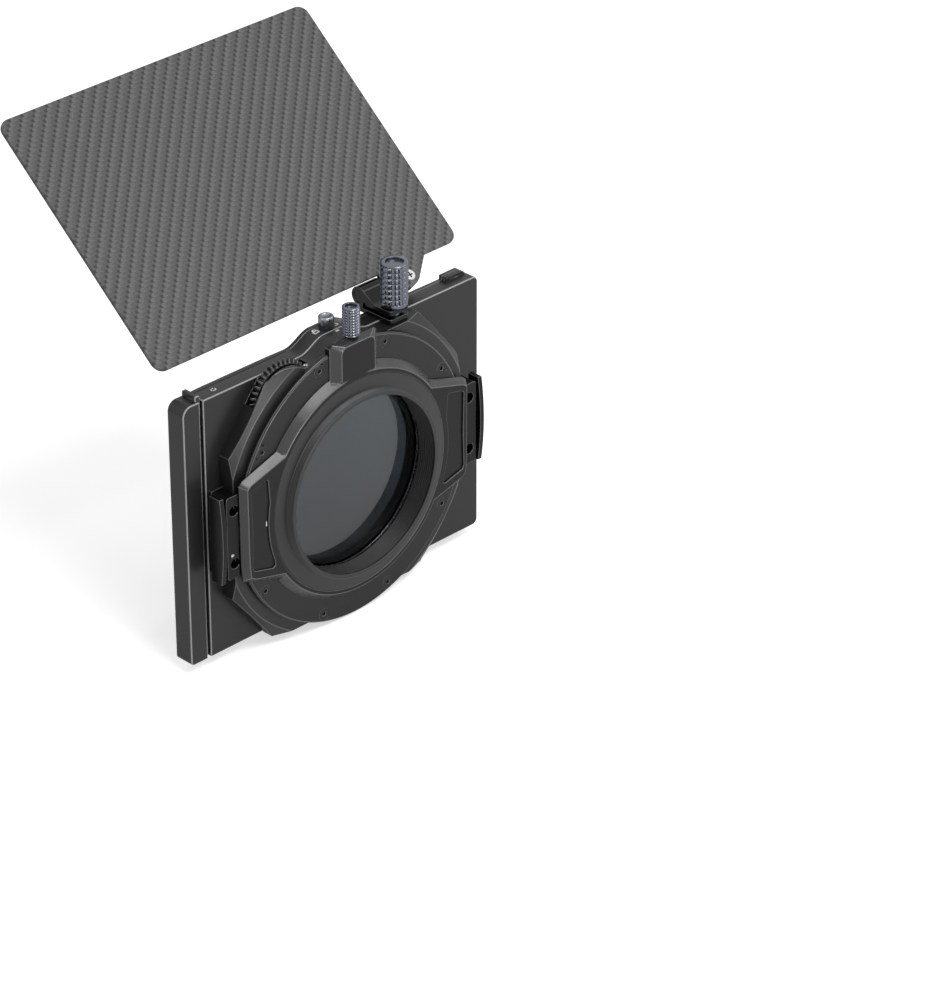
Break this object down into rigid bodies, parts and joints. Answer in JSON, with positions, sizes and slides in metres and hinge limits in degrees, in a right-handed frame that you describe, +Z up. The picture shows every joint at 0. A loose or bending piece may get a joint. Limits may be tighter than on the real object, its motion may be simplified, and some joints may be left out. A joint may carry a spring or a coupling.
{
  "type": "clip-on matte box",
  "caption": "Slim clip-on matte box with side-loading filter tray, thumbwheel-driven variable density module, swivelling lens adapter collar and tilting sunshade flag.",
  "frame": {"origin": "on the lens axis, at the rear face of the collar, where the lens rim comes to rest", "axes": "+Y along the lens axis toward the camera, -Y out of the front of the box, +Z up, +X to the camera operator's right-hand-rule side: X = Y x Z, the side that the filter tray slides out of"},
  "size_m": [0.1544, 0.115, 0.1982],
  "materials": {
    "anodised": "satin black anodising, fine bead blast",
    "cover_anodised": "satin black anodising, slightly finer than the stage",
    "latch_black": "deep black anodising",
    "bracket_black": "glossy deep black anodising",
    "black_ring": "matt black anodising",
    "wheel_black": "matt black anodising",
    "grey_aluminium": "grey anodising",
    "gunmetal": "polished gunmetal anodising",
    "carbon_fibre": "twill carbon laminate, satin",
    "filter_glass": "polished and coated",
    "polariser_glass": "polished and coated",
    "dark_screw": "black oxide",
    "bright_screw": "nickel plated",
    "spring_steel": "bare spring steel",
    "brass": "turned"
  },
  "bodies": {
    "adapter": {"adapter_ring": "black_ring"},
    "box": {"front_plate": "anodised", "front_screws": "dark_screw", "stage_body": "anodised", "stage_screws": "dark_screw", "tray_leaf_spring": "spring_steel", "lock_bush": "grey_aluminium", "nd_housing": "anodised", "wheel_axle": "spring_steel", "rear_cover": "cover_anodised", "fixed_polariser": "polariser_glass", "polariser_clip": "spring_steel", "cover_screws": "dark_screw", "collar": "anodised", "left_latch_housing": "latch_black", "right_latch_housing": "latch_black", "left_latch_spring": "spring_steel", "right_latch_spring": "spring_steel", "latch_screws": "dark_screw", "flag_bracket": "bracket_black", "bracket_screws": "dark_screw"},
    "tray": {"filter_tray": "grey_aluminium", "filter_glass": "filter_glass", "tray_handle": "anodised", "tray_screws": "dark_screw"},
    "lock": {"lock_knob": "gunmetal"},
    "nd_filter": {"nd_ring": "black_ring", "turning_polariser": "polariser_glass", "nd_retaining_ring": "black_ring"},
    "wheel": {"thumbwheel": "wheel_black"},
    "shoe": {"clamp_shoe": "brass"},
    "clamp": {"clamp_knob": "gunmetal"},
    "latch_left": {"left_latch": "latch_black"},
    "latch_right": {"right_latch": "latch_black"},
    "visor": {"flag": "carbon_fibre", "flag_arm": "bracket_black", "flag_screws": "bright_screw"},
    "visor_knob": {"flag_knob": "gunmetal"}
  },
  "joints": [
    {"name": "box_swivel", "type": "hinge", "parent": "adapter", "child": "box", "pos_m": [0, 0, 0], "axis": [0, 1, 0], "continuous": true},
    {"name": "tray_slide", "type": "slide", "parent": "box", "child": "tray", "axis": [1, 0, 0], "range_m": [0, 0.1]},
    {"name": "lock_turn", "type": "hinge", "parent": "box", "child": "lock", "pos_m": [0, -0.0176, 0.06], "axis": [0, 0, 1], "range_deg": [0, 180]},
    {"name": "nd_turn", "type": "hinge", "parent": "box", "child": "nd_filter", "pos_m": [0, -0.01035, 0], "axis": [0, 1, 0], "range_deg": [0, 90]},
    {"name": "wheel_turn", "type": "hinge", "parent": "box", "child": "wheel", "pos_m": [0.03024, -0.0105, 0.04383], "axis": [0, 1, 0], "range_deg": [-229.5, 0]},
    {"name": "clamp_lift", "type": "slide", "parent": "box", "child": "shoe", "axis": [0, 0, 1], "range_m": [0, 0.0015]},
    {"name": "clamp_turn", "type": "hinge", "parent": "shoe", "child": "clamp", "pos_m": [0, -0.0039, 0.06], "axis": [0, 0, 1], "range_deg": [0, 1080]},
    {"name": "left_latch_press", "type": "slide", "parent": "box", "child": "latch_left", "axis": [-1, 0, 0], "range_m": [0, 0.001], "stiffness_N_per_m": 800, "springref_m": -0.001, "deforming": ["left_latch_spring"]},
    {"name": "right_latch_press", "type": "slide", "parent": "box", "child": "latch_right", "axis": [1, 0, 0], "range_m": [0, 0.001], "stiffness_N_per_m": 800, "springref_m": -0.001, "deforming": ["right_latch_spring"]},
    {"name": "flag_tilt", "type": "hinge", "parent": "box", "child": "visor", "pos_m": [-0.0285, -0.0242, 0.0619], "axis": [1, 0, 0], "range_deg": [-30, 130]},
    {"name": "flag_knob_turn", "type": "hinge", "parent": "box", "child": "visor_knob", "pos_m": [-0.0285, -0.01, 0.065], "axis": [0, 0, 1], "range_deg": [0, 180]}
  ],
  "couplings": [
    {"joint": "wheel_turn", "follows": "nd_turn", "ratio": -2.55},
    {"joint": "clamp_turn", "follows": "clamp_lift", "rad_per_m": 12566}
  ]
}
